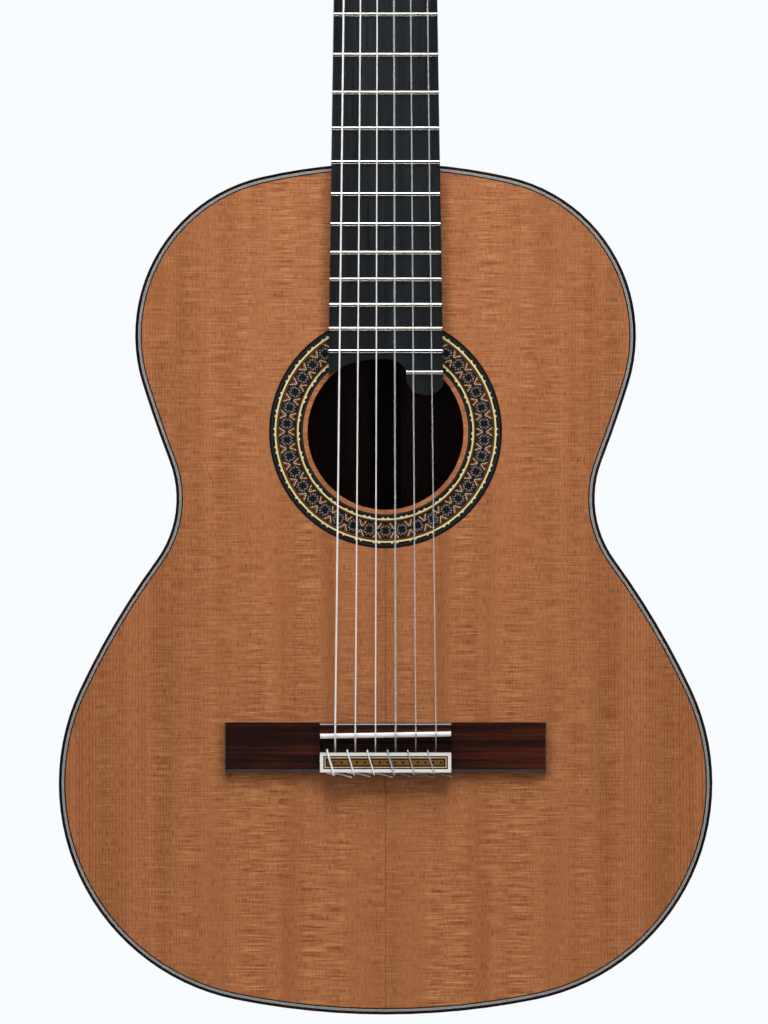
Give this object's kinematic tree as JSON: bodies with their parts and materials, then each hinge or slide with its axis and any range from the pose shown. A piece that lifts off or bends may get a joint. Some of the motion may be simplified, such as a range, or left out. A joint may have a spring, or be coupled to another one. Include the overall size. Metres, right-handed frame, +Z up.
{
  "type": "classical guitar",
  "caption": "Classical guitar with a cedar top, slotted head, nylon strings tied at a low bridge, and geared tuning machines with side rollers.",
  "frame": {"origin": "tail end of the body, on the centreline, halfway through its depth", "axes": "+Z up along the neck to the head, +X to the treble side, strings and soundboard face -Y"},
  "size_m": [0.3746, 0.1132, 1.0007],
  "materials": {
    "cedar_top": "satin, fine straight grain",
    "rosewood_body": "gloss, dark streaks",
    "binding_dark": "gloss",
    "purfling_lines": "fine black and white lines, satin",
    "rosette_mosaic": "inlaid mosaic, satin",
    "brace_spruce": "planed, unfinished",
    "lining_cedar": "planed, unfinished",
    "inlay_maple": "gloss",
    "neck_cedro": "satin",
    "head_rosewood": "gloss",
    "ebony": "oiled satin",
    "fret_wire": "polished nickel silver",
    "bone": "polished bone",
    "bridge_rosewood": "satin, dark streaks",
    "tie_block_inlay": "inlaid strip, satin",
    "tuner_brass": "polished",
    "gear_brass": "satin",
    "tuner_screw": "polished",
    "worm_steel": "satin",
    "roller_white": "gloss",
    "button_pearl": "pearl gloss",
    "nylon_clear": "clear nylon",
    "wound_silver": "silver-plated winding"
  },
  "bodies": {
    "guitar": {"soundboard": "cedar_top", "rosette": "rosette_mosaic", "soundhole_patch": "brace_spruce", "fan_braces": "brace_spruce", "harmonic_bars": "brace_spruce", "back_panels": "rosewood_body", "back_strip": "inlay_maple", "back_braces": "brace_spruce", "back_cleats": "brace_spruce", "ribs": "rosewood_body", "linings": "lining_cedar", "tail_block": "lining_cedar", "end_graft": "inlay_maple", "top_binding": "binding_dark", "top_purfling": "purfling_lines", "back_binding": "binding_dark", "neck": "neck_cedro", "heel_cap": "rosewood_body", "headstock": "neck_cedro", "head_veneer": "head_rosewood", "fingerboard": "ebony", "frets": "fret_wire", "nut": "bone", "bridge": "bridge_rosewood", "saddle": "bone", "tie_block_frame": "bone", "tie_block_mosaic": "tie_block_inlay", "treble_tuner_plate": "tuner_brass", "bass_tuner_plate": "tuner_brass", "tuner_plate_screws": "tuner_screw", "string_1": "nylon_clear", "string_2": "nylon_clear", "string_3": "nylon_clear", "string_4": "wound_silver", "string_5": "wound_silver", "string_6": "wound_silver"},
    "string_roller_1": {"roller_1": "roller_white", "gear_1": "gear_brass"},
    "button_shaft_1": {"worm_1": "worm_steel", "button_1": "button_pearl"},
    "string_roller_2": {"roller_2": "roller_white", "gear_2": "gear_brass"},
    "button_shaft_2": {"worm_2": "worm_steel", "button_2": "button_pearl"},
    "string_roller_3": {"roller_3": "roller_white", "gear_3": "gear_brass"},
    "button_shaft_3": {"worm_3": "worm_steel", "button_3": "button_pearl"},
    "string_roller_4": {"roller_4": "roller_white", "gear_4": "gear_brass"},
    "button_shaft_4": {"worm_4": "worm_steel", "button_4": "button_pearl"},
    "string_roller_5": {"roller_5": "roller_white", "gear_5": "gear_brass"},
    "button_shaft_5": {"worm_5": "worm_steel", "button_5": "button_pearl"},
    "string_roller_6": {"roller_6": "roller_white", "gear_6": "gear_brass"},
    "button_shaft_6": {"worm_6": "worm_steel", "button_6": "button_pearl"}
  },
  "joints": [
    {"name": "button_1_turn", "type": "hinge", "parent": "guitar", "child": "button_shaft_1", "pos_m": [0.0425, -0.03228, 0.85231], "axis": [0, -0.9781, 0.2079], "continuous": true},
    {"name": "string_roller_1_turn", "type": "hinge", "parent": "guitar", "child": "string_roller_1", "pos_m": [0.0425, -0.03041, 0.86112], "axis": [1, 0, 0], "continuous": true},
    {"name": "button_2_turn", "type": "hinge", "parent": "guitar", "child": "button_shaft_2", "pos_m": [0.0425, -0.025, 0.88655], "axis": [0, -0.9781, 0.2079], "continuous": true},
    {"name": "string_roller_2_turn", "type": "hinge", "parent": "guitar", "child": "string_roller_2", "pos_m": [0.0425, -0.02313, 0.89535], "axis": [1, 0, 0], "continuous": true},
    {"name": "button_3_turn", "type": "hinge", "parent": "guitar", "child": "button_shaft_3", "pos_m": [0.0425, -0.01772, 0.92078], "axis": [0, -0.9781, 0.2079], "continuous": true},
    {"name": "string_roller_3_turn", "type": "hinge", "parent": "guitar", "child": "string_roller_3", "pos_m": [0.0425, -0.01585, 0.92959], "axis": [1, 0, 0], "continuous": true},
    {"name": "button_4_turn", "type": "hinge", "parent": "guitar", "child": "button_shaft_4", "pos_m": [-0.0425, -0.01772, 0.92078], "axis": [0, -0.9781, 0.2079], "continuous": true},
    {"name": "string_roller_4_turn", "type": "hinge", "parent": "guitar", "child": "string_roller_4", "pos_m": [-0.0425, -0.01585, 0.92959], "axis": [-1, 0, 0], "continuous": true},
    {"name": "button_5_turn", "type": "hinge", "parent": "guitar", "child": "button_shaft_5", "pos_m": [-0.0425, -0.025, 0.88655], "axis": [0, -0.9781, 0.2079], "continuous": true},
    {"name": "string_roller_5_turn", "type": "hinge", "parent": "guitar", "child": "string_roller_5", "pos_m": [-0.0425, -0.02313, 0.89535], "axis": [-1, 0, 0], "continuous": true},
    {"name": "button_6_turn", "type": "hinge", "parent": "guitar", "child": "button_shaft_6", "pos_m": [-0.0425, -0.03228, 0.85231], "axis": [0, -0.9781, 0.2079], "continuous": true},
    {"name": "string_roller_6_turn", "type": "hinge", "parent": "guitar", "child": "string_roller_6", "pos_m": [-0.0425, -0.03041, 0.86112], "axis": [-1, 0, 0], "continuous": true}
  ],
  "couplings": [
    {"joint": "string_roller_1_turn", "follows": "button_1_turn", "ratio": 0.071429},
    {"joint": "string_roller_2_turn", "follows": "button_2_turn", "ratio": 0.071429},
    {"joint": "string_roller_3_turn", "follows": "button_3_turn", "ratio": 0.071429},
    {"joint": "string_roller_4_turn", "follows": "button_4_turn", "ratio": 0.071429},
    {"joint": "string_roller_5_turn", "follows": "button_5_turn", "ratio": 0.071429},
    {"joint": "string_roller_6_turn", "follows": "button_6_turn", "ratio": 0.071429}
  ]
}
